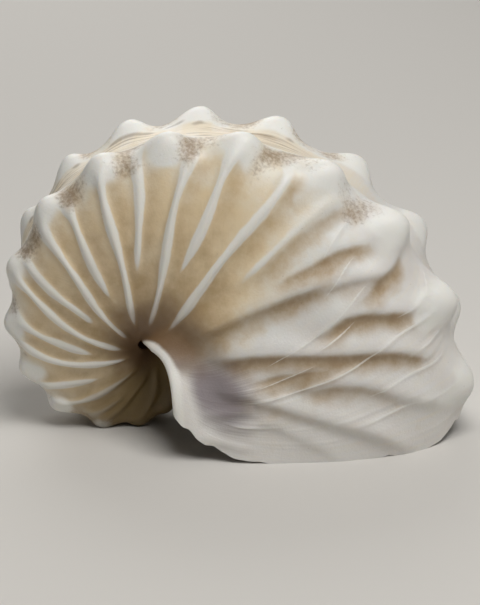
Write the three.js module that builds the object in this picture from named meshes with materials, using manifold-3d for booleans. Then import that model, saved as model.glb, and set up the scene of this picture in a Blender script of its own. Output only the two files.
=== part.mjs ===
// A paper nautilus shell: one thin wall coiled in a plane, ribbed on both flanks, with two rows of knobs
// along its keel. It stands with its mouth down, on both lips and on the oldest knobs.
import * as THREE from "three";
import { mergeVertices } from "three/addons/utils/BufferGeometryUtils.js";
import Module from "manifold-3d";

// Driving sizes in millimetres. The coil axis runs along Y.
const AXIS_X = -15.59;
const AXIS_HEIGHT = 14.72;
const KEEL_RADIUS = 54.6;
const WALL = 0.6;
const INNER_LIP_WALL = 1.5;
const INNER_LIP_BEAD = 0.75;
const INNER_LIP_TROUGH = 0.55;
const EAR_REACH = 4.4;
const KNOB_HEIGHT = 3.7;
const KNOB_HALF_LENGTH = 4.1;
const LONG_RIB_HEIGHT = 0.9;
const SHORT_RIB_HEIGHT = 0.7;
const RIB_HALF_WIDTH = 1.8;

// Sizes that grow with the coil, as shares of its keel radius.
const YOUNG_INNER_LIP_WIDTH = 0.262;
const OLD_INNER_LIP_WIDTH = 0.185;
const FLANK_WIDTH = 0.312;
const KEEL_WIDTH = 0.11;
const KEEL_WIDENING = 0.04;
const UMBILICUS = 0.078;
const THICKEST_WALL = 0.05;

// How the coil draws in, per radian of its age. Angles are in degrees about the coil axis: 0 points to the
// front of the shell, and older parts have larger angles.
const DRAW_IN = 0.225;
const DRAW_IN_GROWTH = 0.0165;
const WAIST_SHARE = 0.042;
const WAIST_ANGLE = 165;
const WAIST_HALF_WIDTH = 45;
const APEX_ANGLE = 420;
const APEX_CAP = 50;
const APEX_BLUNTNESS = 0.85;
const EAR_ANGLE = -50;
const EAR_FADE = 15;
const FREE_LIP_ANGLE = 40;
const JOINED_LIP_ANGLE = 110;

// The half section, from the inner lip to the middle of the keel. Each point has its place between the inner
// lip and the keel radius, and its width as shares of the inner lip's, the flank's and the keel's half width.
const SECTION = [
  [0.0, 1.0, 0.0, 0.0],
  [0.1, 0.38, 0.62, 0.0],
  [0.26, 0.0, 1.0, 0.0],
  [0.47, 0.0, 1.03, 0.0],
  [0.72, 0.0, 0.9, 0.1],
  [0.89, 0.0, 0.47, 0.53],
  [0.955, 0.0, 0.0, 0.97],
  [0.935, 0.0, 0.0, 0.34],
];
const INNER_BEAD_END = 0.42;
const TROUGH_MIDDLE = 1.15;
const TROUGH_SPREAD = 0.5;
const THICK_LIP_START = 0.2;
const THICK_LIP_END = 1.4;
const KNOB_ROW = 6;
const KEEL_MIDDLE = 7.5;

// The angle at which the lip ends each point of the section.
const LIP = [-48, -51.5, -38.8, -29, -19, -16.5, -11, -8.5];
const KEEL_LIP = LIP[LIP.length - 1];

// The knobs of the near row. The far row stands part of a step nearer the mouth.
const KNOBS = [-5.5, 11, 29, 46.5, 66.5, 84, 102.5, 123, 146, 168.5, 190.5, 214, 241, 265, 287, 309, 331];
const FAR_ROW_STEP = 0.42;
const KNOB_LEAN = 0.45;
const KNOB_ROUNDNESS = 2.2;
const KNOB_GROWTH = 1.5;
const KNOB_FLANK_SPREAD = 0.9;
const KNOB_KEEL_SPREAD = 0.8;
const NEW_KNOB_SHARE = 0.7;
const KNOB_FULL_GROWTH = 25;

// The ribs of the near flank: angle at mid flank, sweep towards the mouth per section point, inner end as a
// section point, and whether the rib is long. The far flank's ribs stand nearer the mouth.
const RIBS = [
  [-21.5, 2, 1.9, false],
  [-12, 3.2, 1.3, true],
  [-2.5, 0, 2.5, false],
  [9.5, 2.8, 1.0, true],
  [17.5, 1.5, 2.8, false],
  [28.5, 2.2, 1.1, true],
  [43.5, 1.2, 2.9, false],
  [54.5, 0.5, 1.1, true],
  [68.5, 1.2, 2.7, false],
  [78.5, 0.3, 1.1, true],
  [92, 0.5, 2.8, false],
  [102, 0, 1.2, true],
  [116, 0, 2.5, false],
  [128.5, 1.8, 1.0, true],
  [142.5, 1.5, 2.5, false],
  [156.5, 5.4, 1.2, true],
  [173, 6, 2.6, false],
  [187, 5.7, 1.3, true],
  [207, 4.5, 3.0, false],
  [224.5, 7, 1.6, true],
  [242, 6, 3.2, false],
  [252, 8, 2.2, true],
  [279, 8, 2.5, false],
];
const FAR_RIB_SHIFT = -7.5;
const RIB_MIDDLE = 3.5;
const RIB_KEEL_FADE = 5;
const RIB_KEEL_END = 5.6;
const RIB_INNER_FADE = 0.6;
const OLDEST_SWEPT = 340;

// The grid of the faceted wall. Its lines follow the ribs, and bend to follow the lip near the mouth.
const MOUTH_BEND = 43.5;
const MOUTH_STEPS = 14;
const STEPS_PER_RIB = 4;
const OLD_COIL_STEPS = 14;
const NORMAL_STEP = 0.02;
const MERGE_DISTANCE = 1e-4;
const CROSS_POINTS = [0, 0.3, 0.8, 1.4, 2.1, 2.9, 3.7, 4.4, 5, 5.5, 6, 6.6, KEEL_MIDDLE];

const { clamp, degToRad, lerp, smoothstep } = THREE.MathUtils;

function bell(distance, halfWidth) {
  return Math.exp(-((distance / halfWidth) ** 2));
}

function keelRadius(angle) {
  const age = degToRad(angle);
  const waist = 1 - WAIST_SHARE * bell(angle - WAIST_ANGLE, WAIST_HALF_WIDTH);
  return KEEL_RADIUS * waist * Math.exp(-age * (DRAW_IN + DRAW_IN_GROWTH * age));
}

// How free the inner lip is: 1 at the mouth, 0 where the whorl is joined to the older one.
function lipFreedom(angle) {
  return 1 - smoothstep(angle, FREE_LIP_ANGLE, JOINED_LIP_ANGLE);
}

function halfWidths(angle) {
  const innerLip = lerp(OLD_INNER_LIP_WIDTH, YOUNG_INNER_LIP_WIDTH, lipFreedom(angle));
  const keel = KEEL_WIDTH + KEEL_WIDENING * degToRad(angle);
  return [innerLip, FLANK_WIDTH, keel].map((share) => share * keelRadius(angle));
}

function innerLipRadius(angle) {
  return UMBILICUS * keelRadius(angle) + EAR_REACH * Math.exp((EAR_ANGLE - angle) / EAR_FADE);
}

// One value from a list of control values by a uniform cubic B-spline.
function spline(values, place) {
  const first = Math.min(Math.floor(place), values.length - 4);
  const part = place - first;
  const rest = 1 - part;
  const start = rest ** 3 * values[first] + (3 * part ** 3 - 6 * part ** 2 + 4) * values[first + 1];
  const finish = (3 * rest ** 3 - 6 * rest ** 2 + 4) * values[first + 2] + part ** 3 * values[first + 3];
  return (start + finish) / 6;
}

// Control values of a half section, led in straight at the inner lip and mirrored past the keel's middle.
function halfList(values, mirrorSign) {
  const leadIn = 2 * values[0] - values[1];
  const mirrored = values.slice(-2).reverse();
  return [leadIn, ...values, ...mirrored.map((value) => mirrorSign * value)];
}

function lipAngle(across) {
  return spline(halfList(LIP, 1), across);
}

// The oldest end shrinks to a blunt cap.
function capScale(angle) {
  const past = clamp((angle - APEX_ANGLE + APEX_CAP) / APEX_CAP, 0, 1);
  return Math.sqrt(1 - APEX_BLUNTNESS * past * past);
}

// Distance from the coil axis and from the middle plane, for a point of the smooth wall.
function sectionPoint(angle, across) {
  const inner = innerLipRadius(angle);
  const [lipWidth, flankWidth, keelWidth] = halfWidths(angle);
  const reach = SECTION.map((row) => lerp(inner, keelRadius(angle), row[0]));
  const breadth = SECTION.map((row) => row[1] * lipWidth + row[2] * flankWidth + row[3] * keelWidth);
  const cap = capScale(angle);
  return [cap * spline(halfList(reach, 1), across), cap * spline(halfList(breadth, -1), across)];
}

// A point of the smooth wall. The side is -1 for the near flank and 1 for the far one.
function wallPoint(angle, across, side) {
  const [distance, offset] = sectionPoint(angle, across);
  const turn = degToRad(angle);
  return new THREE.Vector3(distance * Math.cos(turn), side * offset, distance * Math.sin(turn));
}

// The direction out of the smooth wall.
function wallNormal(angle, across, side) {
  const step = NORMAL_STEP;
  const back = Math.max(0, across - step);
  const ahead = Math.min(KEEL_MIDDLE, across + step);
  const along = wallPoint(angle + step, across, side).sub(wallPoint(angle - step, across, side));
  const over = wallPoint(angle, ahead, side).sub(wallPoint(angle, back, side));
  return along.cross(over).normalize().multiplyScalar(side);
}

function knobAngles(side) {
  if (side < 0) return KNOBS;
  return KNOBS.slice(1).map((angle, index) => lerp(angle, KNOBS[index], FAR_ROW_STEP));
}

// How far the knobs stand out of the smooth wall, outwards from the coil and to the side. The newest ones,
// by the lip, aren't fully grown.
function knobLift(angle, across, side) {
  const radius = keelRadius(angle);
  const size = Math.sqrt(radius / KEEL_RADIUS);
  const spread = across < KNOB_ROW ? KNOB_FLANK_SPREAD : KNOB_KEEL_SPREAD;
  let share = 0;
  for (const knob of knobAngles(side)) {
    const away = Math.abs(degToRad(angle - knob) * radius) / (KNOB_HALF_LENGTH * size);
    share += Math.exp(-(away ** KNOB_ROUNDNESS));
  }
  const grown = lerp(NEW_KNOB_SHARE, 1, smoothstep(angle - lipAngle(across), 0, KNOB_FULL_GROWTH));
  const height = KNOB_HEIGHT * grown * size ** KNOB_GROWTH * share * bell(across - KNOB_ROW, spread);
  const turn = degToRad(angle);
  return new THREE.Vector3(Math.cos(turn), KNOB_LEAN * side, Math.sin(turn)).setLength(height);
}

// How far the ribs, and the bead and trough of the inner lip, stand out of the smooth wall.
function ribLift(angle, across, side) {
  const size = Math.sqrt(keelRadius(angle) / KEEL_RADIUS);
  const distance = sectionPoint(angle, across)[0];
  const shift = side < 0 ? 0 : FAR_RIB_SHIFT;
  const keelFade = 1 - smoothstep(across, RIB_KEEL_FADE, RIB_KEEL_END);
  const bead = INNER_LIP_BEAD * bell(across, INNER_BEAD_END);
  const trough = INNER_LIP_TROUGH * bell(across - TROUGH_MIDDLE, TROUGH_SPREAD);
  let height = (bead - trough) * lipFreedom(angle);
  for (const [middle, sweep, innerEnd, isLong] of RIBS) {
    const crest = middle + shift + sweep * (RIB_MIDDLE - across);
    const away = degToRad(angle - crest) * distance;
    const innerFade = smoothstep(across, innerEnd - RIB_INNER_FADE, innerEnd + RIB_INNER_FADE);
    const fullHeight = isLong ? LONG_RIB_HEIGHT : SHORT_RIB_HEIGHT;
    height += fullHeight * size * innerFade * keelFade * bell(away, RIB_HALF_WIDTH * size);
  }
  return height;
}

function wallThickness(angle, across) {
  const thin = Math.min(WALL, THICKEST_WALL * keelRadius(angle)) * capScale(angle);
  const lipShare = (1 - smoothstep(across, THICK_LIP_START, THICK_LIP_END)) * lipFreedom(angle);
  return thin + (INNER_LIP_WALL - WALL) * lipShare;
}

// The grid lines' angles at mid flank, from the oldest end to the mouth.
function gridLines() {
  const crests = RIBS.map((rib) => rib[0]).filter((angle) => angle >= MOUTH_BEND).reverse();
  const stops = [APEX_ANGLE, ...crests, KEEL_LIP];
  const lines = [];
  for (let stop = 0; stop < stops.length - 1; stop += 1) {
    let steps = STEPS_PER_RIB;
    if (stop === 0) steps = OLD_COIL_STEPS;
    if (stop === stops.length - 2) steps = MOUTH_STEPS;
    for (let step = 0; step < steps; step += 1) {
      lines.push(lerp(stops[stop], stops[stop + 1], step / steps));
    }
  }
  return [...lines, KEEL_LIP];
}

// The sweep of the ribs on either side of an angle. Past the oldest rib it fades to none.
function ribSweep(angle) {
  const rows = [...RIBS, [OLDEST_SWEPT, 0], [APEX_ANGLE + 1, 0]];
  const older = Math.max(1, rows.findIndex((row) => row[0] > angle));
  const [youngAngle, youngSweep] = rows[older - 1];
  const [oldAngle, oldSweep] = rows[older];
  return lerp(youngSweep, oldSweep, (angle - youngAngle) / (oldAngle - youngAngle));
}

// The angle of a grid line at a point across the section.
function gridAngle(line, across, side) {
  const atMouth = 1 - smoothstep(line, KEEL_LIP, MOUTH_BEND);
  const overKeel = smoothstep(across, KNOB_ROW, 2 * KEEL_MIDDLE - KNOB_ROW);
  const shift = FAR_RIB_SHIFT * (side < 0 ? overKeel : 1 - overKeel);
  const ribBend = ribSweep(line) * (RIB_MIDDLE - Math.min(across, KNOB_ROW)) + shift;
  return line + lerp(ribBend, lipAngle(across) - KEEL_LIP, atMouth);
}

// A point of the finished wall: its outer skin at depth 0, its inner skin at depth 1.
function skinPoint(line, across, side, depth) {
  const angle = gridAngle(line, across, side);
  const lift = ribLift(angle, across, side) + (1 - depth) * wallThickness(angle, across);
  const point = wallPoint(angle, across, side).add(knobLift(angle, across, side));
  return point.addScaledVector(wallNormal(angle, across, side), lift);
}

// The wall as a closed mesh: an outer and an inner grid, joined along the lips and the oldest end.
function wallGeometry() {
  const lines = gridLines();
  const end = lines.length - 1;
  const half = CROSS_POINTS.length - 1;
  const columns = 2 * half;
  const points = [];
  for (const depth of [0, 1]) {
    for (const line of lines) {
      for (let column = 0; column <= columns; column += 1) {
        const side = column <= half ? -1 : 1;
        const across = CROSS_POINTS[Math.min(column, columns - column)];
        points.push(skinPoint(line, across, side, depth));
      }
    }
  }
  const layer = lines.length * (columns + 1);
  const at = (depth, step, column) => depth * layer + step * (columns + 1) + column;
  const triangles = [];
  const quad = (a, b, c, d) => triangles.push(a, c, b, a, d, c);
  for (let step = 0; step < end; step += 1) {
    const next = step + 1;
    for (let column = 0; column < columns; column += 1) {
      quad(at(0, step, column), at(0, step, column + 1), at(0, next, column + 1), at(0, next, column));
      quad(at(1, step, column), at(1, next, column), at(1, next, column + 1), at(1, step, column + 1));
    }
    quad(at(0, step, 0), at(0, next, 0), at(1, next, 0), at(1, step, 0));
    quad(at(0, step, columns), at(1, step, columns), at(1, next, columns), at(0, next, columns));
  }
  for (let column = 0; column < columns; column += 1) {
    quad(at(0, 0, column), at(1, 0, column), at(1, 0, column + 1), at(0, 0, column + 1));
    quad(at(0, end, column), at(0, end, column + 1), at(1, end, column + 1), at(1, end, column));
  }
  return new THREE.BufferGeometry().setFromPoints(points).setIndex(triangles);
}

const wasm = await Module();
wasm.setup();

function solidFrom(geometry) {
  geometry.deleteAttribute("normal");
  geometry.deleteAttribute("uv");
  const merged = mergeVertices(geometry, MERGE_DISTANCE);
  const mesh = new wasm.Mesh({
    numProp: 3,
    vertProperties: new Float32Array(merged.attributes.position.array),
    triVerts: new Uint32Array(merged.index.array),
  });
  return new wasm.Manifold(mesh);
}

function geometryFrom(solid) {
  const mesh = solid.getMesh();
  const geometry = new THREE.BufferGeometry();
  geometry.setAttribute("position", new THREE.Float32BufferAttribute(mesh.vertProperties, 3));
  geometry.setIndex(Array.from(mesh.triVerts));
  geometry.computeVertexNormals();
  return geometry;
}

// The lips and the lowest knobs are worn flat where the shell stands.
function standingShell() {
  const wall = solidFrom(wallGeometry().translate(AXIS_X, 0, AXIS_HEIGHT));
  const breadth = 4 * KEEL_RADIUS;
  const depth = KEEL_RADIUS;
  const ground = solidFrom(new THREE.BoxGeometry(breadth, breadth, depth).translate(0, 0, -depth / 2));
  return geometryFrom(wall.subtract(ground));
}

const chalkyShell = new THREE.MeshStandardMaterial({ color: 0xe2d6bd, roughness: 0.5, metalness: 0 });
const shell = new THREE.Mesh(standingShell(), chalkyShell);
shell.name = "shell";

const paperNautilus = new THREE.Group();
paperNautilus.add(shell);

export default paperNautilus;
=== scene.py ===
"""A paper nautilus shell on a plain studio floor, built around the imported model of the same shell."""

import math

import bmesh
import bpy
import numpy as np
from bpy.props import FloatProperty, FloatVectorProperty, PointerProperty
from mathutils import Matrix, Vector


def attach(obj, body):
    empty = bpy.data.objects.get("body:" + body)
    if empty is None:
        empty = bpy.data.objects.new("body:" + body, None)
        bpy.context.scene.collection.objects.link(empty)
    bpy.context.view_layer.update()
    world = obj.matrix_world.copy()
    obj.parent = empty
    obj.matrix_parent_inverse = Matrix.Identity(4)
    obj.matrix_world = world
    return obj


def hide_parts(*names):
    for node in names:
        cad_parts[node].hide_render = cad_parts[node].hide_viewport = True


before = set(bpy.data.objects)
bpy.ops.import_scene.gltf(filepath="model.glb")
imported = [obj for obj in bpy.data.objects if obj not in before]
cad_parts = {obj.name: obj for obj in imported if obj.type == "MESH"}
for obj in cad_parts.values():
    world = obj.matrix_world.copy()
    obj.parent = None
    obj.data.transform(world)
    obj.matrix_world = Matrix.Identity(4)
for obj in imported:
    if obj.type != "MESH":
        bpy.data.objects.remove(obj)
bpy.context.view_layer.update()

bl_info = {
    "name": "Paper Nautilus Shell",
    "version": (1, 0, 0),
    "blender": (4, 5, 0),
    "location": "View3D > Sidebar > Shell",
    "description": "Makes a ribbed paper nautilus shell and the studio stage around it",
    "category": "Object",
}

MM = 0.001

# The shell's form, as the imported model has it. The coil axis runs along Y. Angles are in degrees about that
# axis: 0 points to the front of the shell, and older parts have larger angles.
AXIS = (-15.59 * MM, 0.0, 14.72 * MM)
KEEL_RADIUS = 54.6 * MM
WALL = 0.6 * MM
INNER_LIP_WALL = 1.5 * MM
EAR_REACH = 4.4 * MM
KNOB_HEIGHT = 3.7 * MM
KNOB_HALF_LENGTH = 4.1 * MM
LONG_RIB_HEIGHT = 0.9 * MM
SHORT_RIB_HEIGHT = 0.7 * MM

# Sizes that grow with the coil, as shares of its keel radius. The keel widens with each radian of age.
YOUNG_INNER_LIP_WIDTH = 0.262
OLD_INNER_LIP_WIDTH = 0.185
FLANK_WIDTH = 0.312
KEEL_WIDTH = 0.11
KEEL_WIDENING = 0.04
UMBILICUS = 0.078
THICKEST_WALL = 0.05

# How the coil draws in per radian of its age, and where its waist, its oldest end and its free lip lie.
DRAW_IN = 0.225
DRAW_IN_GROWTH = 0.0165
WAIST_SHARE = 0.042
WAIST_ANGLE = 165.0
WAIST_HALF_WIDTH = 45.0
APEX_ANGLE = 420.0
APEX_CAP = 50.0
APEX_BLUNTNESS = 0.85
EAR_ANGLE = -50.0
EAR_FADE = 15.0
FREE_LIP_ANGLE = 40.0
JOINED_LIP_ANGLE = 110.0

# The half section, from the inner lip to the middle of the keel: each point's place between the inner lip
# and the keel radius, and its width as shares of the inner lip's, the flank's and the keel's half width.
SECTION = np.array([
    [0.0, 1.0, 0.0, 0.0],
    [0.1, 0.38, 0.62, 0.0],
    [0.26, 0.0, 1.0, 0.0],
    [0.47, 0.0, 1.03, 0.0],
    [0.72, 0.0, 0.9, 0.1],
    [0.89, 0.0, 0.47, 0.53],
    [0.955, 0.0, 0.0, 0.97],
    [0.935, 0.0, 0.0, 0.34],
])

# Places and widths across the half section, counted in its points.
INNER_BEAD_END = 0.42
TROUGH_MIDDLE = 1.15
TROUGH_SPREAD = 0.5
THICK_LIP_START = 0.2
THICK_LIP_END = 1.4
KNOB_ROW = 6.0
KEEL_MIDDLE = 7.5

# The angle at which the lip ends each point of the section.
LIP = np.array([-48.0, -51.5, -38.8, -29.0, -19.0, -16.5, -11.0, -8.5])
KEEL_LIP = -8.5

# The knobs of the near row. The far row stands part of a step nearer the mouth.
KNOBS = np.array(
    [-5.5, 11, 29, 46.5, 66.5, 84, 102.5, 123, 146, 168.5, 190.5, 214, 241, 265, 287, 309, 331]
)
FAR_ROW_STEP = 0.42
KNOB_LEAN = 0.45
KNOB_ROUNDNESS = 2.2
KNOB_GROWTH = 1.5
KNOB_FLANK_SPREAD = 0.9
KNOB_KEEL_SPREAD = 0.8
NEW_KNOB_SHARE = 0.7
KNOB_FULL_GROWTH = 25.0

# The ribs of the near flank behind the young folds: angle at mid flank, sweep towards the mouth per section
# point, inner end as a section point, and whether the rib is long. The far flank's stand nearer the mouth.
RIBS = (
    (43.5, 1.2, 2.9, False),
    (54.5, 0.5, 1.1, True),
    (68.5, 1.2, 2.7, False),
    (78.5, 0.3, 1.1, True),
    (92.0, 0.5, 2.8, False),
    (102.0, 0.0, 1.2, True),
    (116.0, 0.0, 2.5, False),
    (128.5, 1.8, 1.0, True),
    (142.5, 1.5, 2.5, False),
    (156.5, 5.4, 1.2, True),
    (173.0, 6.0, 2.6, False),
    (187.0, 5.7, 1.3, True),
    (207.0, 4.5, 3.0, False),
    (224.5, 7.0, 1.6, True),
    (242.0, 6.0, 3.2, False),
    (252.0, 8.0, 2.2, True),
    (279.0, 8.0, 2.5, False),
)
FAR_RIB_SHIFT = -7.5
RIB_MIDDLE = 3.5
RIB_KEEL_FADE = 5.0
RIB_KEEL_END = 5.6
RIB_INNER_FADE = 0.6
OLDEST_SWEPT = 340.0

# How the ribs' width and line vary. Each pair gives the places or angles between which a change runs, and
# each wave its radians per section point and from one rib to the next.
RIB_NARROWING = (35.0, 75.0)
YOUNG_RIB_WIDENING = 0.4
INNER_RIB_SHARE = 0.75
FLANK_WIDENING = 0.35
FLANK_WIDENS = (1.2, 4.0)
SHOULDER_WIDENING = 0.8
SHOULDER_WIDENS = (4.4, 5.6)
RIB_SWELL = 0.2
SWELL_WAVE = (3.1, 1.7)
WANDER_WAVE = (1.9, 2.4)
# Painted shade, with older stain, dims the lower-left coil's crests by this share between these angles.
LOWER_COIL_CREST_SHADE = 0.6
SHADED_CREST_ANGLES = (180.0, 260.0)

# Painted shade and stain on a crest's younger, lower side: distances from the crest at which they come and
# go.
UNDER_CREST_SHADE_COMES = (-0.2 * MM, 1.2 * MM)
UNDER_CREST_SHADE_GOES = (1.2 * MM, 6.0 * MM)

# The folds of the young near flank, which break off and start anew as the shell grew: share of the full
# height, share of the painted shade and stain below the fold, and the crest's angle and section point from
# its inner end on.
YOUNG_FOLDS = (
    (0.5, 1.0, ((36.5, 3.2), (34.3, 3.9), (33.4, 4.3), (30.5, 4.8))),
    (1.2, 1.0, ((34.0, 1.3), (32.8, 2.2), (30.0, 3.1), (28.0, 3.7))),
    (0.8, 0.5, ((26.3, 3.6), (25.6, 4.0), (24.1, 4.3), (22.4, 4.7))),
    (0.8, 1.0, ((20.0, 4.1), (22.3, 4.5), (23.0, 5.0), (25.5, 5.5))),
    (1.0, 1.0, ((14.5, 3.3), (17.0, 3.7), (16.2, 4.0), (14.3, 4.3), (12.5, 4.8))),
    (1.1, 1.0, ((11.3, 1.4), (11.4, 2.1), (10.1, 2.6), (7.7, 3.2), (5.9, 3.9), (4.7, 4.3), (2.0, 4.8))),
    (0.5, 1.0, ((-1.0, 2.0), (2.2, 2.5), (3.1, 2.9), (4.0, 3.3))),
    (0.9, 0.8, ((-4.0, 2.8), (-2.1, 3.2), (-2.4, 3.6), (-5.9, 4.2), (-8.0, 4.8))),
    (1.1, 0.5, ((-12.2, 1.4), (-10.9, 1.9), (-13.2, 2.8), (-15.0, 3.7), (-17.2, 4.2))),
    (0.4, 0.0, ((-20.0, 2.0), (-22.0, 2.9), (-24.0, 3.4))),
)
FOLD_END_FADE = 0.4

# The bolder growth ridges: degrees behind the lip, and the section points between which each one shows.
GROWTH_RIDGES = (
    (10.5, 3.6, 4.4),
    (13.9, 1.6, 2.4),
    (16.7, 3.7, 5.3),
    (21.0, 4.6, 5.8),
    (26.0, 1.8, 5.2),
    (29.4, 4.5, 5.9),
    (32.2, 2.0, 3.0),
    (36.0, 3.1, 3.8),
    (40.2, 2.3, 4.3),
    (46.8, 3.6, 4.4),
    (53.0, 4.0, 4.8),
)
RIDGE_ZONE = 1.25
RIDGE_HALF_WIDTH = 0.7
RIDGE_END_FADE = 0.3
RIDGE_WANDER = 0.4
RIDGE_WAVE = 4.0

# The fine growth lines, drawn at random: degrees from one to the next, middle and reach of each across the
# section, its strength, and its half width in degrees.
LINE_SEED = 7
LINE_STEPS = (0.9, 2.8)
LINE_MIDDLES = (1.5, 5.5)
LINE_REACHES = (0.7, 1.8)
LINE_STRENGTHS = (0.2, 1.0)
LINE_HALF_WIDTH = 0.45

# Noise in the wall's form: its cells before it repeats, the sizes of the lip's chips in section points, and
# those of lumps and ragged edges.
NOISE_LATTICE = 48
SMALL_CHIP = 0.25
SMALL_CHIP_SEED = 5
LARGE_CHIP = 0.6
LARGE_CHIP_SEED = 6
LARGE_CHIP_SHARE = 0.6
CHIP_REACH = 2.0
LUMP_SIZE = 5.0 * MM
LUMP_SEED = 1
RAGGED_SIZE = 3.5 * MM
RAGGED_SEED = 2
RAGGED_REACH = 0.55

# Short thin ridges beside the inner lip: angle and section point at each end.
LIP_RIDGES = (
    (-34.0, 1.0, -16.0, 2.0),
    (-32.0, 1.55, -20.0, 2.3),
    (-48.0, 0.85, -36.0, 1.9),
)

# The fine grid. Its lines follow the ribs, and bend to follow the lip near the mouth. The inner skin has
# every second line and column.
MOUTH_BEND = 62.0
HIDDEN_COIL_ANGLE = 305.0
HIDDEN_LINES = 40
SHOWN_LINES = 506
HALF_COLUMNS = 66
LIP_CROWDING = 1.6
LIP_ROUND_STEPS = 3
SAMPLES_PER_LINE = 4
SAMPLES_PER_COLUMN = 20
CUT_TOLERANCE = 1e-7
SHARP_ANGLE = 55.0
NORMAL_STEP = 0.02

# Degrees of growth behind the lip between which the young white part turns into the older tan one.
WHITE_GROWTH = 38.0
TAN_GROWTH = 88.0

# Where the colours lie. Each pair gives the section points, degrees of coil or degrees of growth between
# which a colour comes or goes. The reach of stain and of umber with painted shade is a share of the keel
# radius.
# Each wave of the groove has its size across the section and its number in a turn of the coil.
SHOULDER = (4.4, 5.5)
KEEL_FLOOR = (6.5, 7.0)
KEEL_STAIN_ANGLES = (10.0, 50.0)
TAN_GOES = (3.6, 6.0)
SHOULDER_TAN_LOSS = 0.9
STAIN_REACH = 0.6
# Umber stain round the umbilicus, deepened with painted shade of its recess.
UMBER_SHADE_REACH = 0.31
UMBER_SHADE_GROWTH = (24.0, 65.0)
CREST_UMBER_SHADE_LOSS = 0.4
# Painted shade and stain below crests and folds: its growth and shoulder limits and its loss on the old part.
UNDER_CREST_SHADE_GROWTH = (4.0, 24.0)
UNDER_CREST_SHADE_SHOULDER = (4.8, 5.8)
OLD_UNDER_CREST_SHADE_LOSS = 0.5
# A lilac grey tint with painted shade, in the trough beside the inner lip near the mouth.
LILAC_SHADE_COMES = (0.2, 1.0)
LILAC_SHADE_GOES = (1.3, 2.6)
LILAC_SHADE_ANGLE = -15.0
LILAC_SHADE_HALF_WIDTH = 26.0
WHITE_BEAD_END = 0.38
# The oldest, lower-left coil is stained olive and darkened further with painted shade.
OLIVE_SHADE_ANGLES = (180.0, 275.0)
# Painted shade, with older stain, dims the lower-left coil's chalky knobs by this share between these angles.
SHADED_KNOB_ANGLES = (200.0, 270.0)
LOWER_COIL_KNOB_SHADE = 0.85
DIRT_GROWTH = (25.0, 60.0)
KNOB_DIRT_LOSS = 0.7
DIRT_SHARE = 0.9
GROOVE_PLACE = 6.85
GROOVE_HALF_WIDTH = 0.08
GROOVE_ANGLES = (25.0, 60.0)
SLOW_GROOVE_WAVE = (0.12, 9.0)
QUICK_GROOVE_WAVE = (0.08, 23.0)

# How much of each mask shows on the inner skin. Masks that aren't named don't show there.
# The umber's share paints shade on the inner skin near the axis, where the inside is dark.
INSIDE_SHARES = {"growth": 1.0, "across": 1.0, "tan": 0.25, "umber_and_shade": 0.9, "olive_and_shade": 0.6}

# Noise of the calcite in space: name, size in millimetres and detail. Real grain is far finer than 0.4 mm and
# specks are finer than 0.6 mm, and both are drawn that coarse so that they show.
CALCITE_NOISES = (
    ("cloud", 9.0, 3.0),
    ("blotch", 3.4, 4.0),
    ("speck", 0.6, 3.0),
    ("grain", 0.4, 2.0),
)
CALCITE_NOISE_ROUGHNESS = 0.6

# Noise of the calcite along the lip: name, waves per degree of growth and per section point, detail and
# roughness.
LIP_NOISES = (
    ("streak", (1.3, 0.7, 1.0), 6.0, 0.65),
    ("keel_line", (0.05, 9.0, 1.0), 4.0, 0.6),
)
STREAK_BUMP = 0.7
BUMP_STRENGTH = 0.35
CALCITE_ROUGHNESS = (0.38, 0.56)
CALCITE_IOR = 1.53
GLOW_SHARE = 0.25
GLOW_COLOURS = (1.0, 0.75, 0.5)

# The stage, in metres. Each softbox has its name, its place and its width.
LAMPS = (
    ("key", (0.11, -0.17, 0.46), 0.3),
    ("fill", (-0.45, -0.3, 0.2), 0.4),
    ("back", (-0.12, 0.45, 0.36), 0.4),
)
FIBRE_SIZE = 2.0 * MM
FIBRE_HEIGHT = 0.05 * MM
FIBRE_STRENGTH = 0.1
FIBRE_DETAIL = 2.0
PAPER_ROUGHNESS = 0.9

# Width of the camera's sensor in millimetres.
SENSOR_WIDTH = 36.0


def linear(hex_colour):
    """A scene-linear RGBA colour from an sRGB hex value."""
    shares = [int(hex_colour[place:place + 2], 16) / 255 for place in (0, 2, 4)]
    light = [share / 12.92 if share <= 0.04045 else ((share + 0.055) / 1.055) ** 2.4 for share in shares]
    return (*light, 1.0)


def bell(distance, half_width):
    """1 in the middle, falling smoothly to 0 past the half width."""
    return np.exp(-((distance / half_width) ** 2))


def smooth(value, low, high):
    """0 below low, 1 above high and a smooth step between."""
    share = np.clip((value - low) / (high - low), 0.0, 1.0)
    return share * share * (3.0 - 2.0 * share)


def mix(first, second, share):
    """A value part of the way from the first to the second."""
    return first + (second - first) * share


def soft_noise(points, size, seed):
    """Smooth noise from -1 to 1 at points in space, with lumps of about the given size."""
    shape = (NOISE_LATTICE, NOISE_LATTICE, NOISE_LATTICE)
    lattice = np.random.default_rng(seed).uniform(-1.0, 1.0, shape)
    place = points / size
    cell = np.floor(place).astype(int)
    part = smooth(place - cell, 0.0, 1.0)
    total = 0.0
    for corner in np.ndindex(2, 2, 2):
        weight = np.prod(np.where(corner, part, 1.0 - part), axis=-1)
        index = (cell + corner) % NOISE_LATTICE
        total = total + weight * lattice[index[..., 0], index[..., 1], index[..., 2]]
    return total


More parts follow.
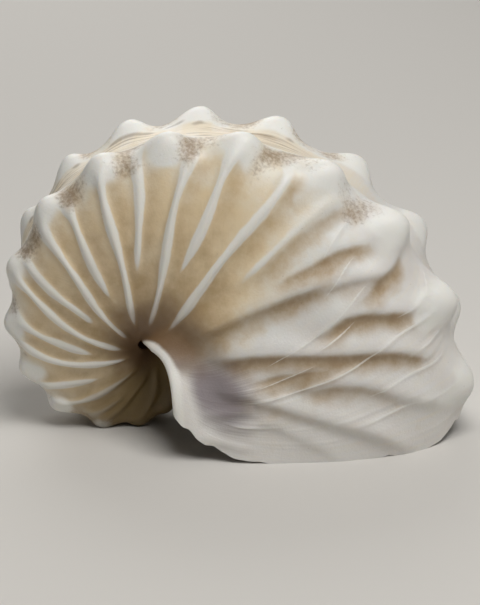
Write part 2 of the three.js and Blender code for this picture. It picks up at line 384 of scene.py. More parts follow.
def spline(values, place, mirror_sign=1.0):
    """A half section's value by a uniform cubic B-spline, mirrored past the middle of the keel."""
    lead_in = 2.0 * values[0] - values[1]
    control = np.array([lead_in, *values, mirror_sign * values[-1], mirror_sign * values[-2]])
    first = np.minimum(np.floor(place).astype(int), len(control) - 4)
    part = place - first
    rest = 1.0 - part
    start = rest**3 * control[first] + (3.0 * part**3 - 6.0 * part**2 + 4.0) * control[first + 1]
    finish = (3.0 * rest**3 - 6.0 * rest**2 + 4.0) * control[first + 2] + part**3 * control[first + 3]
    return (start + finish) / 6.0


def keel_radius(angle):
    """Distance of the keel from the coil axis."""
    age = np.radians(angle)
    waist = 1.0 - WAIST_SHARE * bell(angle - WAIST_ANGLE, WAIST_HALF_WIDTH)
    return KEEL_RADIUS * waist * np.exp(-age * (DRAW_IN + DRAW_IN_GROWTH * age))


def growth_size(angle):
    """How large ribs and knobs of this age are, as a share of the youngest ones."""
    return np.sqrt(keel_radius(angle) / KEEL_RADIUS)


def lip_freedom(angle):
    """1 at the mouth, where the inner lip is free, and 0 where the whorl is joined to the older one."""
    return 1.0 - smooth(angle, FREE_LIP_ANGLE, JOINED_LIP_ANGLE)


def cap_scale(angle):
    """The oldest end shrinks to a blunt cap."""
    past = np.clip((angle - APEX_ANGLE + APEX_CAP) / APEX_CAP, 0.0, 1.0)
    return np.sqrt(1.0 - APEX_BLUNTNESS * past * past)


def lip_angle(across):
    """The angle at which the outer lip ends the wall."""
    return spline(LIP, across)


def section_point(angle, across):
    """Distance from the coil axis and from the middle plane, for a point of the smooth wall."""
    radius = keel_radius(angle)
    inner = UMBILICUS * radius + EAR_REACH * np.exp((EAR_ANGLE - angle) / EAR_FADE)
    lip_width = radius * mix(OLD_INNER_LIP_WIDTH, YOUNG_INNER_LIP_WIDTH, lip_freedom(angle))
    keel_width = radius * (KEEL_WIDTH + KEEL_WIDENING * np.radians(angle))
    distance = mix(inner, radius, spline(SECTION[:, 0], across))
    offset = (
        lip_width * spline(SECTION[:, 1], across, -1.0)
        + radius * FLANK_WIDTH * spline(SECTION[:, 2], across, -1.0)
        + keel_width * spline(SECTION[:, 3], across, -1.0)
    )
    return cap_scale(angle) * distance, cap_scale(angle) * offset


def wall_point(angle, across, side):
    """A point of the smooth wall. The side is -1 for the near flank and 1 for the far one."""
    distance, offset = section_point(angle, across)
    turn = np.radians(angle)
    return np.stack([distance * np.cos(turn), side * offset, distance * np.sin(turn)], axis=-1)


def wall_normal(angle, across, side):
    """The smooth wall's outward direction."""
    back = np.maximum(0.0, across - NORMAL_STEP)
    ahead = np.minimum(KEEL_MIDDLE, across + NORMAL_STEP)
    along = wall_point(angle + NORMAL_STEP, across, side) - wall_point(angle - NORMAL_STEP, across, side)
    over = wall_point(angle, ahead, side) - wall_point(angle, back, side)
    normal = np.cross(along, over)
    return side[..., None] * normal / np.linalg.norm(normal, axis=-1, keepdims=True)


def knob_share(angle, side):
    """1 at a knob's angle and 0 between knobs."""
    far = mix(KNOBS[1:], KNOBS[:-1], FAR_ROW_STEP)
    arc = keel_radius(angle)
    half_length = KNOB_HALF_LENGTH * growth_size(angle)
    total = np.zeros_like(angle)
    for row_side, row in ((-1.0, KNOBS), (1.0, far)):
        for knob in row:
            away = np.abs(np.radians(angle - knob)) * arc / half_length
            total += (side == row_side) * np.exp(-(away**KNOB_ROUNDNESS))
    return total


def knob_lift(angle, across, side):
    """How far the knobs stand out, outwards from the coil and to the side. The newest aren't fully grown."""
    grown = mix(NEW_KNOB_SHARE, 1.0, smooth(angle - lip_angle(across), 0.0, KNOB_FULL_GROWTH))
    spread = np.where(across < KNOB_ROW, KNOB_FLANK_SPREAD, KNOB_KEEL_SPREAD)
    row = bell(across - KNOB_ROW, spread)
    height = KNOB_HEIGHT * grown * growth_size(angle) ** KNOB_GROWTH * knob_share(angle, side) * row
    turn = np.radians(angle)
    lean = math.hypot(1.0, KNOB_LEAN)
    direction = np.stack([np.cos(turn), KNOB_LEAN * side, np.sin(turn)], axis=-1) / lean
    return height[..., None] * direction


def wall_thickness(angle, across):
    """Thickness of the wall, which is stout along the free inner lip."""
    thin = np.minimum(WALL, THICKEST_WALL * keel_radius(angle)) * cap_scale(angle)
    lip_share = (1.0 - smooth(across, THICK_LIP_START, THICK_LIP_END)) * lip_freedom(angle)
    return thin + (INNER_LIP_WALL - WALL) * lip_share


def span(across, start, end, fade):
    """1 between two places across the section, fading to 0 past them."""
    return smooth(across, start - fade, start + fade) * (1.0 - smooth(across, end - fade, end + fade))


def shade_and_stain_below(away):
    """How much painted shade and stain lie on the younger side of a crest, below it, from 0 to 1."""
    return smooth(-away, *UNDER_CREST_SHADE_COMES) * (1.0 - smooth(-away, *UNDER_CREST_SHADE_GOES))


def wave(across, number, turns):
    """A sine wave across the section, at another place on each rib."""
    per_point, per_rib = turns
    return np.sin(per_point * across + per_rib * number)


def rib_fields(angle, across, side, finish):
    """Height of the ribs and folds, how white their crests are, and the painted shade and stain below them.
    """
    distance = section_point(angle, across)[0]
    size = growth_size(angle)
    shift = np.where(side < 0, 0.0, FAR_RIB_SHIFT)
    keel_fade = 1.0 - smooth(across, RIB_KEEL_FADE, RIB_KEEL_END)
    height = np.zeros_like(angle)
    crest = np.zeros_like(angle)
    painted_shade_and_stain = np.zeros_like(angle)
    for start, start_across, end, end_across in LIP_RIDGES:
        line = shift + mix(start, end, (across - start_across) / (end_across - start_across))
        away = np.radians(angle - line) * distance
        fade = span(across, start_across, end_across, RIDGE_END_FADE)
        height += finish.lip_ridge_height * fade * bell(away, finish.lip_ridge_width)
    # Each fold's stain share sets how much painted shade and stain lie below it.
    for share, stain, points in YOUNG_FOLDS:
        angles, places = zip(*points)
        away = np.radians(angle - shift - np.interp(across, places, angles)) * distance
        fade = span(across, places[0], places[-1], FOLD_END_FADE)
        width = np.where(away < 0.0, finish.fold_drop, finish.fold_back)
        height += finish.fold_height * share * fade * bell(away, width)
        painted_shade_and_stain = np.maximum(painted_shade_and_stain, stain * fade * shade_and_stain_below(away))
    for number, (middle, sweep, inner_end, is_long) in enumerate(RIBS):
        wander = finish.rib_wander * wave(across, number, WANDER_WAVE)
        line = middle + shift + sweep * (RIB_MIDDLE - across) + wander
        away = np.radians(angle - line) * distance
        inner_fade = smooth(across, inner_end - RIB_INNER_FADE, inner_end + RIB_INNER_FADE)
        widening = FLANK_WIDENING * smooth(across, *FLANK_WIDENS)
        widening = widening + SHOULDER_WIDENING * smooth(across, *SHOULDER_WIDENS)
        width = finish.rib_width * (1.0 + YOUNG_RIB_WIDENING * (1.0 - smooth(middle, *RIB_NARROWING)))
        width = width * (INNER_RIB_SHARE + widening)
        width = width * (1.0 + RIB_SWELL * wave(across, number, SWELL_WAVE))
        full_height = LONG_RIB_HEIGHT if is_long else SHORT_RIB_HEIGHT
        height += full_height * size * inner_fade * keel_fade * bell(away, width)
        crest = np.maximum(crest, inner_fade * bell(away, width))
        painted_shade_and_stain = np.maximum(painted_shade_and_stain, inner_fade * keel_fade * shade_and_stain_below(away))
    # Painted shade, with older stain, dims the crests of the lower-left coil.
    whiteness = 1.0 - LOWER_COIL_CREST_SHADE * smooth(angle, *SHADED_CREST_ANGLES)
    return height, crest * whiteness, painted_shade_and_stain * (1.0 - crest)


def growth_ridges(growth, across):
    """Degrees from the nearest bold growth ridge, and how plainly that ridge shows, from 0 to 1."""
    wavy = growth + RIDGE_WANDER * np.sin(RIDGE_WAVE * across)
    gap = np.full_like(growth, WHITE_GROWTH)
    shown = np.zeros_like(growth)
    for place, start, end in GROWTH_RIDGES:
        away = wavy - place
        nearer = np.abs(away) < np.abs(gap)
        gap = np.where(nearer, away, gap)
        shown = np.where(nearer, span(across, start, end, RIDGE_END_FADE), shown)
    return gap, shown * (1.0 - smooth(np.abs(gap), 0.0, RIDGE_ZONE))


def grid_lines():
    """The grid lines' angles at mid flank, from the oldest end to the mouth, in even steps on the keel."""
    hidden = np.linspace(APEX_ANGLE, HIDDEN_COIL_ANGLE, HIDDEN_LINES, endpoint=False)
    angles = np.linspace(HIDDEN_COIL_ANGLE, KEEL_LIP, SAMPLES_PER_LINE * SHOWN_LINES)
    steps = np.abs(np.diff(angles)) * keel_radius(angles[:-1])
    arc = np.concatenate([[0.0], np.cumsum(steps)])
    shown = np.interp(np.linspace(0.0, arc[-1], SHOWN_LINES + 1), arc, angles)
    return np.concatenate([hidden, shown])


def cross_points():
    """Places across the half section, in even steps along the wall that are shorter by the inner lip."""
    fine = np.linspace(0.0, KEEL_MIDDLE, SAMPLES_PER_COLUMN * HALF_COLUMNS)
    distance, offset = section_point(np.full_like(fine, FREE_LIP_ANGLE), fine)
    crowding = 1.0 + LIP_CROWDING * bell(fine[1:], THICK_LIP_END)
    steps = np.hypot(np.diff(distance), np.diff(offset)) * crowding
    arc = np.concatenate([[0.0], np.cumsum(steps)])
    return np.interp(np.linspace(0.0, arc[-1], HALF_COLUMNS + 1), arc, fine)


def grid_angle(line, across, side):
    """The angle of a grid line at a point across the section."""
    rib_angles = [rib[0] for rib in RIBS] + [OLDEST_SWEPT]
    rib_sweeps = [rib[1] for rib in RIBS] + [0.0]
    sweep = np.interp(line, rib_angles, rib_sweeps)
    at_mouth = 1.0 - smooth(line, KEEL_LIP, MOUTH_BEND)
    over_keel = smooth(across, KNOB_ROW, 2.0 * KEEL_MIDDLE - KNOB_ROW)
    shift = FAR_RIB_SHIFT * np.where(side < 0, over_keel, 1.0 - over_keel)
    rib_bend = sweep * (RIB_MIDDLE - np.minimum(across, KNOB_ROW)) + shift
    return line + mix(rib_bend, lip_angle(across) - KEEL_LIP, at_mouth)


def growth_lines(growth, across):
    """Fine growth lines of the young wall, from 0 to about 1. Each runs beside a part of the lip."""
    chance = np.random.default_rng(LINE_SEED)
    total = np.zeros_like(growth)
    place = 0.0
    while place < WHITE_GROWTH:
        place += chance.uniform(*LINE_STEPS)
        middle = chance.uniform(*LINE_MIDDLES)
        reach = chance.uniform(*LINE_REACHES)
        strength = chance.uniform(*LINE_STRENGTHS)
        total += strength * bell(growth - place, LINE_HALF_WIDTH) * bell(across - middle, reach)
    return total


def colour_masks(angle, across, side, crest, painted_shade_and_stain, ragged):
    """Where each layer of colour lies, from 0 to 1. The ragged value shifts edges along the shoulder."""
    growth = angle - lip_angle(across)
    ridge_gap, ridges = growth_ridges(growth, across)
    distance = section_point(angle, across)[0]
    old = smooth(growth, WHITE_GROWTH, TAN_GROWTH)
    keel_floor = smooth(across, *KEEL_FLOOR)
    shoulder = smooth(across + ragged, *SHOULDER) * (1.0 - keel_floor)
    knob = knob_share(angle, side)
    near_axis = bell(distance, UMBER_SHADE_REACH * keel_radius(angle))
    turn = np.radians(angle)
    slow_size, slow_waves = SLOW_GROOVE_WAVE
    quick_size, quick_waves = QUICK_GROOVE_WAVE
    wander = slow_size * np.sin(slow_waves * turn + side) + quick_size * np.sin(quick_waves * turn)
    # Painted shade and stain below the crests and folds.
    painted_shade_and_stain = painted_shade_and_stain * smooth(growth, *UNDER_CREST_SHADE_GROWTH) * (1.0 - smooth(across, *UNDER_CREST_SHADE_SHOULDER))
    dirt = shoulder * smooth(growth, *DIRT_GROWTH)
    # Lilac grey tint with painted shade in the trough beside the inner lip.
    lilac_and_shade = smooth(across, *LILAC_SHADE_COMES) * (1.0 - smooth(across, *LILAC_SHADE_GOES))
    return {
        "growth": growth,
        "across": across,
        "cream": old,
        "young": 1.0 - old,
        "ridge_gap": ridge_gap,
        "ridges": ridges,
        "tan": old * (1.0 - SHOULDER_TAN_LOSS * smooth(across + ragged, *TAN_GOES)),
        "stain": old * bell(distance, STAIN_REACH * keel_radius(angle)),
        # Umber stain round the umbilicus, deepened with painted shade of its recess and inside.
        "umber_and_shade": near_axis * smooth(growth, *UMBER_SHADE_GROWTH) * (1.0 - CREST_UMBER_SHADE_LOSS * crest),
        "crest": crest * old,
        "painted_shade_and_stain": painted_shade_and_stain * (1.0 - OLD_UNDER_CREST_SHADE_LOSS * old),
        "lilac_and_shade": lilac_and_shade * bell(angle - LILAC_SHADE_ANGLE, LILAC_SHADE_HALF_WIDTH),
        "bead": bell(across, WHITE_BEAD_END) * lip_freedom(angle),
        # Olive stain of the oldest coil, darkened further with painted shade.
        "olive_and_shade": smooth(angle, *OLIVE_SHADE_ANGLES),
        # Painted shade, with older stain, dims the chalky knobs of the lower-left coil.
        "chalk": knob * shoulder * (1.0 - LOWER_COIL_KNOB_SHADE * smooth(angle, *SHADED_KNOB_ANGLES)),
        "dirt": dirt * (1.0 - KNOB_DIRT_LOSS * knob) * (DIRT_SHARE + ragged),
        "groove": bell(across - GROOVE_PLACE + wander, GROOVE_HALF_WIDTH) * smooth(angle, *GROOVE_ANGLES),
        "keel_floor": keel_floor * smooth(angle, *KEEL_STAIN_ANGLES),
        "specks": np.ones_like(angle),
    }


def wall_skins(finish):
    """Points of the wall's outer and inner skin on the fine grid, and the colour masks there."""
    half = cross_points()
    across_row = np.concatenate([half, half[-2::-1]])
    side_row = np.where(np.arange(len(across_row)) <= HALF_COLUMNS, -1.0, 1.0)
    line, across = np.meshgrid(grid_lines(), across_row, indexing="ij")
    side = np.broadcast_to(side_row, line.shape)
    chips_at = np.stack([across, side, np.zeros_like(across)], axis=-1)
    chips = soft_noise(chips_at, SMALL_CHIP, SMALL_CHIP_SEED)
    chips = chips + LARGE_CHIP_SHARE * soft_noise(chips_at, LARGE_CHIP, LARGE_CHIP_SEED)
    angle = grid_angle(line, across, side) + finish.chip_angle * chips * bell(line - KEEL_LIP, CHIP_REACH)

    plain_wall = wall_point(angle, across, side)
    normal = wall_normal(angle, across, side)
    rib_height, crest, painted_shade_and_stain = rib_fields(angle, across, side, finish)
    lumps = finish.lump_height * soft_noise(plain_wall, LUMP_SIZE, LUMP_SEED)
    bead = finish.bead_height * bell(across, INNER_BEAD_END)
    trough = finish.trough_depth * bell(across - TROUGH_MIDDLE, TROUGH_SPREAD)
    growth = angle - lip_angle(across)
    gap, ridges = growth_ridges(growth, across)
    lines = finish.growth_line_height * growth_lines(growth, across)
    lines = lines + finish.growth_ridge_height * ridges * bell(gap, RIDGE_HALF_WIDTH)
    lift = rib_height + (bead - trough) * lip_freedom(angle) + lumps + lines
    body = plain_wall + knob_lift(angle, across, side)
    outer = body + (lift + wall_thickness(angle, across))[..., None] * normal
    inner = body + lift[..., None] * normal
    ragged = RAGGED_REACH * soft_noise(plain_wall, RAGGED_SIZE, RAGGED_SEED)
    return outer, inner, colour_masks(angle, across, side, crest, painted_shade_and_stain, ragged)


def lip_arc(outer_edge, inner_edge, outer_next):
    """Rows of points that round the inner lip from its outer to its inner skin."""
    middle = 0.5 * (outer_edge + inner_edge)
    arm = outer_edge - middle
    outwards = outer_edge - outer_next
    outwards = outwards / np.linalg.norm(outwards, axis=-1, keepdims=True)
    reach = np.linalg.norm(arm, axis=-1, keepdims=True)
    turns = [math.pi * step / (LIP_ROUND_STEPS + 1) for step in range(1, LIP_ROUND_STEPS + 1)]
    return [middle + math.cos(turn) * arm + math.sin(turn) * reach * outwards for turn in turns]


def between(coarse):
    """A row of points with one more point halfway along each step."""
    fine = np.empty((2 * len(coarse) - 1, 3))
    fine[::2] = coarse
    fine[1::2] = 0.5 * (coarse[:-1] + coarse[1:])
    return fine


def strip_faces(first, second):
    """Quads between two rows of vertex numbers."""
    return np.stack([first[:-1], second[:-1], second[1:], first[1:]], axis=-1).tolist()


def edge_faces(fine, coarse):
    """Faces between a row of vertex numbers and a row with half as many steps."""
    return np.stack([coarse[:-1], coarse[1:], fine[2::2], fine[1:-1:2], fine[:-2:2]], axis=-1).tolist()


def wall_faces(outer_at, inner_at, near_rows, far_rows):
    """Faces of the closed wall, from the vertex numbers of its skins and of the rows that round its lips."""
    faces = []
    for row, next_row in zip(outer_at[:-1], outer_at[1:]):
        faces += strip_faces(row, next_row)
    for row, next_row in zip(inner_at[:-1], inner_at[1:]):
        faces += strip_faces(next_row, row)
    for row, next_row in zip(near_rows[:-1], near_rows[1:]):
        faces += strip_faces(row, next_row)
    for row, next_row in zip(far_rows[:-1], far_rows[1:]):
        faces += strip_faces(next_row, row)
    faces += edge_faces(near_rows[-1], inner_at[:, 0])
    faces += edge_faces(far_rows[-1][::-1], inner_at[::-1, -1])
    faces += edge_faces(outer_at[0, ::-1], inner_at[0, ::-1])
    faces += edge_faces(outer_at[-1], inner_at[-1])
    for end, step in ((0, -1), (-1, 1)):
        near_cap = [row[end] for row in near_rows] + [inner_at[end, 0]]
        far_cap = [row[end] for row in far_rows] + [inner_at[end, -1]]
        faces.append(near_cap[::step])
        faces.append(far_cap[::-step])
    return faces


def shell_mesh(finish):
    """The wall as one closed mesh, cut level where the shell stands."""
    outer, inner, masks = wall_skins(finish)
    inner = inner[::2, ::2]
    near_arc = lip_arc(outer[:, 0], between(inner[:, 0]), outer[:, 1])
    far_arc = lip_arc(outer[:, -1], between(inner[:, -1]), outer[:, -2])
    blocks = [outer.reshape(-1, 3), inner.reshape(-1, 3), *near_arc, *far_arc]
    starts = np.cumsum([0] + [len(block) for block in blocks])
    outer_at = np.arange(starts[0], starts[1]).reshape(outer.shape[:2])
    inner_at = np.arange(starts[1], starts[2]).reshape(inner.shape[:2])
    arcs_at = [np.arange(starts[place], starts[place + 1]) for place in range(2, len(blocks))]
    near_rows = [outer_at[:, 0], *arcs_at[:LIP_ROUND_STEPS]]
    far_rows = [outer_at[:, -1], *arcs_at[LIP_ROUND_STEPS:]]

    mesh = bpy.data.meshes.new("shell_wall")
    faces = wall_faces(outer_at, inner_at, near_rows, far_rows)
    mesh.from_pydata(np.concatenate(blocks) + np.array(AXIS), [], faces)
    for name, values in masks.items():
        inside = INSIDE_SHARES.get(name, 0.0) * values[::2, ::2].ravel()
        edges = [values[:, 0]] * LIP_ROUND_STEPS + [values[:, -1]] * LIP_ROUND_STEPS
        attribute = mesh.attributes.new(name, "FLOAT", "POINT")
        column = np.concatenate([values.ravel(), inside, *edges])
        attribute.data.foreach_set("value", column.astype(np.float32))
    level_cut(mesh)
    return mesh


def level_cut(mesh):
    """Cuts the mesh at the surface that the shell stands on, and closes the cuts."""
    cut = bmesh.new()
    cut.from_mesh(mesh)
    everything = cut.verts[:] + cut.edges[:] + cut.faces[:]
    level = {"plane_co": (0.0, 0.0, 0.0), "plane_no": (0.0, 0.0, 1.0)}
    bmesh.ops.bisect_plane(cut, geom=everything, dist=CUT_TOLERANCE, clear_inner=True, **level)
    open_edges = [edge for edge in cut.edges if edge.is_boundary]
    bmesh.ops.holes_fill(cut, edges=open_edges, sides=0)
    cut.to_mesh(mesh)
    cut.free()
    mesh.shade_smooth()
    mesh.set_sharp_from_angle(angle=math.radians(SHARP_ANGLE))


def add_node(tree, kind, inputs=None, **settings):
    """Adds a node with its settings. Each input is a value, or an output socket to link."""
    node = tree.nodes.new(kind)
    for name, value in settings.items():
        setattr(node, name, value)
    for key, value in (inputs or {}).items():
        if isinstance(value, bpy.types.NodeSocket):
            tree.links.new(value, node.inputs[key])
        else:
            node.inputs[key].default_value = value
    return node


# The masks that the material reads, by name.
COLOUR_MASKS = (
    "growth",
    "across",
    "cream",
    "young",
    "ridge_gap",
    "ridges",
    "tan",
    "umber_and_shade",
    "painted_shade_and_stain",
    "lilac_and_shade",
    "olive_and_shade",
    "chalk",
    "dirt",
    "groove",
    "keel_floor",
    "stain",
    "bead",
    "specks",
    "crest",
)

# Socket numbers of a colour Mix node.
FACTOR = 0
UNDER = 6
OVER = 7
MIXED = 2


def calcite_material(finish):
    """Calcite grown in thin layers, worn and stained."""
    # To the eye: chalky white ribs and knobs, mottled tan between them, stains deepened with painted shade
    # below the folds, beside the inner lip, on the lower-left coil and round the umbilicus, and a waxy satin
    # skin that lets a little light in.
    material = bpy.data.materials.new("grown_calcite")
    material.use_nodes = True
    tree = material.node_tree
    tree.nodes.clear()

    place = add_node(tree, "ShaderNodeTexCoord").outputs["Object"]
    noise = {}
    for name, size, detail in CALCITE_NOISES:
        inputs = {"Vector": place, "Scale": 1.0 / (size * MM), "Detail": detail}
        inputs["Roughness"] = CALCITE_NOISE_ROUGHNESS
        noise[name] = add_node(tree, "ShaderNodeTexNoise", inputs).outputs["Fac"]

    mask = {}
    for name in COLOUR_MASKS:
        mask[name] = add_node(tree, "ShaderNodeAttribute", attribute_name=name).outputs["Fac"]
    along_lip = add_node(tree, "ShaderNodeCombineXYZ", {"X": mask["growth"], "Y": mask["across"]}).outputs[0]
    for name, waves, detail, roughness in LIP_NOISES:
        stretched = add_node(tree, "ShaderNodeVectorMath", {0: along_lip, 1: waves}, operation="MULTIPLY")
        inputs = {"Vector": stretched.outputs[0], "Scale": 1.0, "Detail": detail, "Roughness": roughness}
        noise[name] = add_node(tree, "ShaderNodeTexNoise", inputs).outputs["Fac"]
    away = add_node(tree, "ShaderNodeMath", {0: mask["ridge_gap"]}, operation="ABSOLUTE")
    noise["ridge_gap"] = away.outputs[0]

    # Each layer has its mask, its colour, the noise that breaks it up and by how much, the sums of mask and
    # noise at which it starts and is whole, and how much it covers.
    # Layers under folds, by the inner lip, on the lower-left coil and round the umbilicus also paint shade.
    layers = (
        ("cream", finish.cream, "cloud", 0.5, 0.3, 1.2, 0.5),
        ("young", finish.blush, "cloud", 0.9, 1.1, 1.7, 0.45),
        ("young", finish.cream, "streak", 1.2, 1.5, 2.1, 0.4),
        ("tan", finish.tan, "blotch", 0.8, 0.45, 1.35, 0.95),
        ("tan", finish.cream, "cloud", 1.6, 1.6, 2.2, 0.4),
        ("tan", finish.painted_shade_and_stain, "streak", 1.2, 1.5, 2.2, 0.3),
        ("stain", finish.painted_shade_and_stain, "blotch", 0.8, 0.65, 1.5, 0.75),
        ("painted_shade_and_stain", finish.painted_shade_and_stain, "blotch", 0.8, 0.45, 1.4, 0.75),
        ("painted_shade_and_stain", finish.darkest_shade_and_stain, "blotch", 1.4, 1.35, 2.0, 0.5),
        ("lilac_and_shade", finish.lilac_and_shade, "streak", 0.6, 0.5, 1.2, 0.85),
        ("ridges", finish.chalk, "ridge_gap", -1.3, 0.25, 0.75, 0.7),
        ("crest", finish.chalk, "blotch", 0.5, 0.55, 0.85, 0.92),
        ("olive_and_shade", finish.olive_and_shade, "cloud", 0.4, 0.2, 1.05, 0.95),
        ("umber_and_shade", finish.umber_and_shade, "cloud", 0.5, 0.35, 1.1, 0.85),
        ("bead", finish.chalk, "blotch", 0.4, 0.5, 0.9, 0.9),
        ("keel_floor", finish.tan, "streak", 0.8, 0.6, 1.5, 0.45),
        ("keel_floor", finish.dirt, "keel_line", 1.6, 1.75, 2.1, 0.7),
        ("chalk", finish.chalk, "blotch", 0.6, 0.5, 0.95, 0.95),
        ("dirt", finish.painted_shade_and_stain, "blotch", 1.0, 0.9, 1.7, 0.45),
        ("dirt", finish.dirt, "speck", 1.6, 1.3, 2.1, 0.65),
        ("groove", finish.groove, "blotch", 0.8, 0.7, 1.3, 0.45),
        ("specks", finish.groove, "speck", 1.6, 2.15, 2.3, 0.6),
    )
    colour = finish.white
    for name, layer_colour, noise_name, gain, start, whole, cover in layers:
        inputs = {0: noise[noise_name], 1: gain, 2: mask[name]}
        broken = add_node(tree, "ShaderNodeMath", inputs, operation="MULTIPLY_ADD").outputs[0]
        inputs = {"Value": broken, "From Min": start, "From Max": whole, "To Max": cover}
        share = add_node(tree, "ShaderNodeMapRange", inputs, interpolation_type="SMOOTHSTEP")
        inputs = {FACTOR: share.outputs[0], UNDER: colour, OVER: layer_colour}
        colour = add_node(tree, "ShaderNodeMix", inputs, data_type="RGBA").outputs[MIXED]

    inputs = {0: noise["streak"], 1: STREAK_BUMP, 2: noise["grain"]}
    lines = add_node(tree, "ShaderNodeMath", inputs, operation="MULTIPLY_ADD")
    inputs = {"Height": lines.outputs[0], "Strength": BUMP_STRENGTH, "Distance": finish.grain_height}
    bump = add_node(tree, "ShaderNodeBump", inputs)
    smoothest, roughest = CALCITE_ROUGHNESS
    inputs = {"Value": noise["blotch"], "To Min": smoothest, "To Max": roughest}
    rough = add_node(tree, "ShaderNodeMapRange", inputs)
    inputs = {
        "Base Color": colour,
        "Roughness": rough.outputs[0],
        "IOR": CALCITE_IOR,
        "Subsurface Weight": GLOW_SHARE,
        "Subsurface Radius": GLOW_COLOURS,
        "Subsurface Scale": finish.glow_depth,
        "Normal": bump.outputs[0],
    }
    skin = add_node(tree, "ShaderNodeBsdfPrincipled", inputs)
    add_node(tree, "ShaderNodeOutputMaterial", {"Surface": skin.outputs[0]})
    return material


def paper_material(stage):
    """Matt seamless studio paper."""
    # To the eye: pale, even and without gloss. Its fibres are drawn far coarser than real ones.
    material = bpy.data.materials.new("seamless_paper")
    material.use_nodes = True
    tree = material.node_tree
    tree.nodes.clear()
    place = add_node(tree, "ShaderNodeTexCoord").outputs["Object"]
    inputs = {"Vector": place, "Scale": 1.0 / FIBRE_SIZE, "Detail": FIBRE_DETAIL}
    fibre = add_node(tree, "ShaderNodeTexNoise", inputs).outputs["Fac"]
    inputs = {"Height": fibre, "Strength": FIBRE_STRENGTH, "Distance": FIBRE_HEIGHT}
    bump = add_node(tree, "ShaderNodeBump", inputs)
    inputs = {"Base Color": stage.floor_colour, "Roughness": PAPER_ROUGHNESS, "Normal": bump.outputs[0]}
    paper = add_node(tree, "ShaderNodeBsdfPrincipled", inputs)
    add_node(tree, "ShaderNodeOutputMaterial", {"Surface": paper.outputs[0]})
    return material


def make_floor(stage):
    """A wide level floor under the shell."""
    half = stage.floor_size / 2.0
    mesh = bpy.data.meshes.new("floor_sheet")
    corners = [(-half, -half, 0.0), (half, -half, 0.0), (half, half, 0.0), (-half, half, 0.0)]
    mesh.from_pydata(corners, [], [(0, 1, 2, 3)])
    mesh.materials.append(paper_material(stage))
    floor = bpy.data.objects.new("floor", mesh)
    bpy.context.scene.collection.objects.link(floor)


def aim(thing, place, target):
    """Puts a lamp or camera in its place and turns it towards the target."""
    thing.location = place
    thing.rotation_euler = (Vector(target) - Vector(place)).to_track_quat("-Z", "Y").to_euler()


def add_softbox(name, place, width, power, colour, target):
    """A square softbox lamp."""
    lamp = bpy.data.lights.new(name, "AREA")
    lamp.size = width
    lamp.energy = power
    lamp.color = colour[:3]
    softbox = bpy.data.objects.new(name, lamp)
    bpy.context.scene.collection.objects.link(softbox)
    aim(softbox, place, target)


def add_camera(stage):
    """A long lens that looks across the shell's side from a little above."""
    lens = bpy.data.cameras.new("camera")
    lens.sensor_width = SENSOR_WIDTH
    lens.lens = stage.lens
    camera = bpy.data.objects.new("camera", lens)
    bpy.context.scene.collection.objects.link(camera)
    target = Vector(stage.target)
    elevation = stage.camera_elevation
    outwards = Vector((0.0, -math.cos(elevation), math.sin(elevation)))
    aim(camera, target + stage.camera_distance * outwards, target)
    bpy.context.scene.camera = camera


def length_setting(name, description, size):
    """A length that a user can change, from its size in millimetres."""
    return FloatProperty(name=name, description=description, default=size * MM, unit="LENGTH", precision=5)


def colour_setting(name, description, hex_colour):
    """A colour that a user can change, from an sRGB hex value."""
    colour = linear(hex_colour)
    return FloatVectorProperty(name=name, description=description, default=colour, size=4, subtype="COLOR")


def power_setting(name, description, watts):
    """A lamp's power that a user can change."""
    return FloatProperty(name=name, description=description, default=watts, unit="POWER")


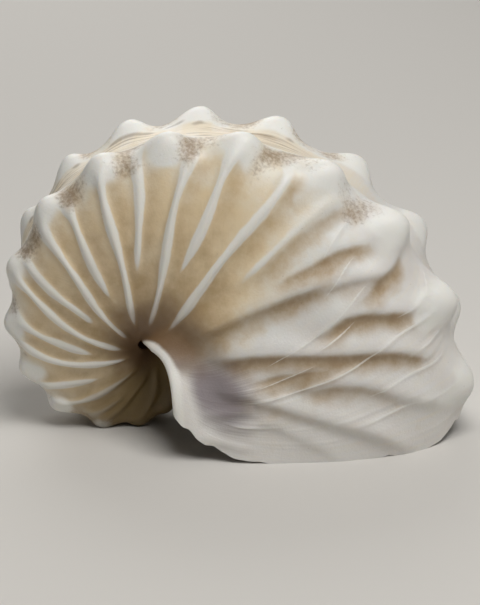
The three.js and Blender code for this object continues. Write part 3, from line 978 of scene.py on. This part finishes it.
class ShellFinish(bpy.types.PropertyGroup):
    """Fine sizes and colours of the shell's surface."""

    rib_width: length_setting("Rib width", "Half width of the ribs", 0.75)
    fold_height: length_setting("Fold height", "Height of the folds near the mouth", 0.95)
    fold_drop: length_setting("Fold drop", "Width of a fold's steep younger side", 1.0)
    fold_back: length_setting("Fold back", "Width of a fold's gentle older side", 2.8)
    bead_height: length_setting("Bead height", "Height of the rounded bead along the inner lip", 0.75)
    trough_depth: length_setting("Trough depth", "Depth of the trough beside the inner lip's bead", 0.55)
    lip_ridge_height: length_setting("Lip ridge height", "Height of the short ridges by the inner lip", 0.35)
    lip_ridge_width: length_setting("Lip ridge width", "Half width of the short ridges by the inner lip", 0.8)
    rib_wander: FloatProperty(
        name="Rib wander", description="How far ribs wander off an even sweep, in degrees", default=0.8
    )
    growth_line_height: length_setting("Growth line height", "Height of the fine growth lines", 0.1)
    growth_ridge_height: length_setting("Growth ridge height", "Height of the bold growth ridges", 0.18)
    lump_height: length_setting("Lump height", "Height of the wall's uneven lumps", 0.12)
    grain_height: length_setting("Grain height", "Height of the chalky grain and the finest lines", 0.12)
    glow_depth: length_setting("Glow depth", "How far light spreads under the waxy skin", 1.2)
    chip_angle: FloatProperty(
        name="Lip chips", description="How far the thin lip is chipped, in degrees", default=1.2
    )
    white: colour_setting("White", "Young white calcite", "E5E4E0")
    cream: colour_setting("Cream", "Older calcite, yellowed a little", "EBE0C8")
    blush: colour_setting("Blush", "Faint pinkish clouds on the young part", "D3C9C3")
    chalk: colour_setting("Chalk", "Worn chalky knobs and ribs", "ECEAE4")
    tan: colour_setting("Tan", "Stain between the older ribs", "E4CEA9")
    # Painted shade below ribs and folds, along with stain; also the colour of the stain, tan streaks and
    # dirt.
    painted_shade_and_stain: colour_setting("Hollow", "Stain below ribs and folds", "A98C5E")
    # Painted shade at its darkest below a fold, along with stain.
    darkest_shade_and_stain: colour_setting("Brown", "Darkest stain below a fold", "8A6A42")
    # Lilac grey tint with painted shade in the trough beside the inner lip.
    lilac_and_shade: colour_setting("Lilac", "Lilac grey by the inner lip", "857A7F")
    # Olive stain of the oldest coil, darkened further with painted shade.
    olive_and_shade: colour_setting("Olive", "Oldest part of the coil", "735C2C")
    # Umber stain round the umbilicus, deepened with painted shade of its recess.
    umber_and_shade: colour_setting("Umber", "Brown around the umbilicus", "694C32")
    dirt: colour_setting("Dirt", "Speckled dirt by the knobs", "7F6445")
    groove: colour_setting("Groove", "Dark lines along the keel", "5A4127")


class StageSettings(bpy.types.PropertyGroup):
    """The floor, the lamps and the camera."""

    floor_size: length_setting("Floor size", "Side of the floor", 6000.0)
    floor_colour: colour_setting("Floor colour", "Pale paper", "CFCCC7")
    lamp_colour: colour_setting("Lamp colour", "Softboxes", "FFFEFC")
    key_power: power_setting("Key power", "Softbox above the front", 2.0)
    fill_power: power_setting("Fill power", "Softbox at the left", 0.05)
    back_power: power_setting("Back power", "Softbox behind", 1.3)
    room_light: FloatProperty(name="Room light", description="Light from all around", default=0.065)
    target: FloatVectorProperty(
        name="Target", description="Point that the camera looks at", subtype="TRANSLATION", unit="LENGTH",
        default=(0.29 * MM, 0.0, 21.2 * MM), precision=5,
    )
    camera_distance: length_setting("Camera distance", "From the lens to the target", 420.0)
    camera_elevation: FloatProperty(
        name="Camera elevation", description="Angle of the view above level", subtype="ANGLE",
        default=math.radians(20.0),
    )
    lens: FloatProperty(name="Lens", description="Focal length in millimetres", default=146.2)


class NAUTILUS_OT_shell(bpy.types.Operator):
    """Makes the shell's fine surface in place of the plain one"""

    bl_idname = "nautilus.shell"
    bl_label = "Make shell"

    def execute(self, context):
        finish = context.scene.nautilus_finish
        shell = bpy.data.objects.new("paper_nautilus_shell", shell_mesh(finish))
        context.scene.collection.objects.link(shell)
        shell.data.materials.append(calcite_material(finish))
        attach(shell, "root")
        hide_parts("shell")
        return {"FINISHED"}


class NAUTILUS_OT_stage(bpy.types.Operator):
    """Makes the floor, the lamps and the camera"""

    bl_idname = "nautilus.stage"
    bl_label = "Make stage"

    def execute(self, context):
        stage = context.scene.nautilus_stage
        make_floor(stage)
        middle = Vector(stage.target)
        powers = {"key": stage.key_power, "fill": stage.fill_power, "back": stage.back_power}
        for name, place, width in LAMPS:
            add_softbox(name, place, width, powers[name], stage.lamp_colour, middle)
        add_camera(stage)
        world = bpy.data.worlds.new("studio")
        world.use_nodes = True
        background = world.node_tree.nodes["Background"]
        background.inputs["Color"].default_value = stage.lamp_colour
        background.inputs["Strength"].default_value = stage.room_light
        context.scene.world = world
        context.scene.view_settings.view_transform = "Standard"
        return {"FINISHED"}


class NAUTILUS_PT_sidebar(bpy.types.Panel):
    """Lists the shell and its stage"""

    bl_label = "Paper Nautilus Shell"
    bl_idname = "NAUTILUS_PT_sidebar"
    bl_space_type = "VIEW_3D"
    bl_region_type = "UI"
    bl_category = "Shell"

    def draw(self, context):
        groups = (
            (NAUTILUS_OT_shell, context.scene.nautilus_finish),
            (NAUTILUS_OT_stage, context.scene.nautilus_stage),
        )
        for operator, settings in groups:
            box = self.layout.box()
            box.operator(operator.bl_idname)
            for name in settings.__annotations__:
                box.prop(settings, name)


CLASSES = (ShellFinish, StageSettings, NAUTILUS_OT_shell, NAUTILUS_OT_stage, NAUTILUS_PT_sidebar)


def register():
    """Adds the classes and the scene's settings."""
    for item in CLASSES:
        bpy.utils.register_class(item)
    bpy.types.Scene.nautilus_finish = PointerProperty(type=ShellFinish)
    bpy.types.Scene.nautilus_stage = PointerProperty(type=StageSettings)


def unregister():
    """Takes the classes and the scene's settings away."""
    del bpy.types.Scene.nautilus_stage
    del bpy.types.Scene.nautilus_finish
    for item in reversed(CLASSES):
        bpy.utils.unregister_class(item)


def main():
    """Makes the stage and the shell."""
    register()
    bpy.ops.nautilus.stage()
    bpy.ops.nautilus.shell()


if __name__ == "__main__":
    main()
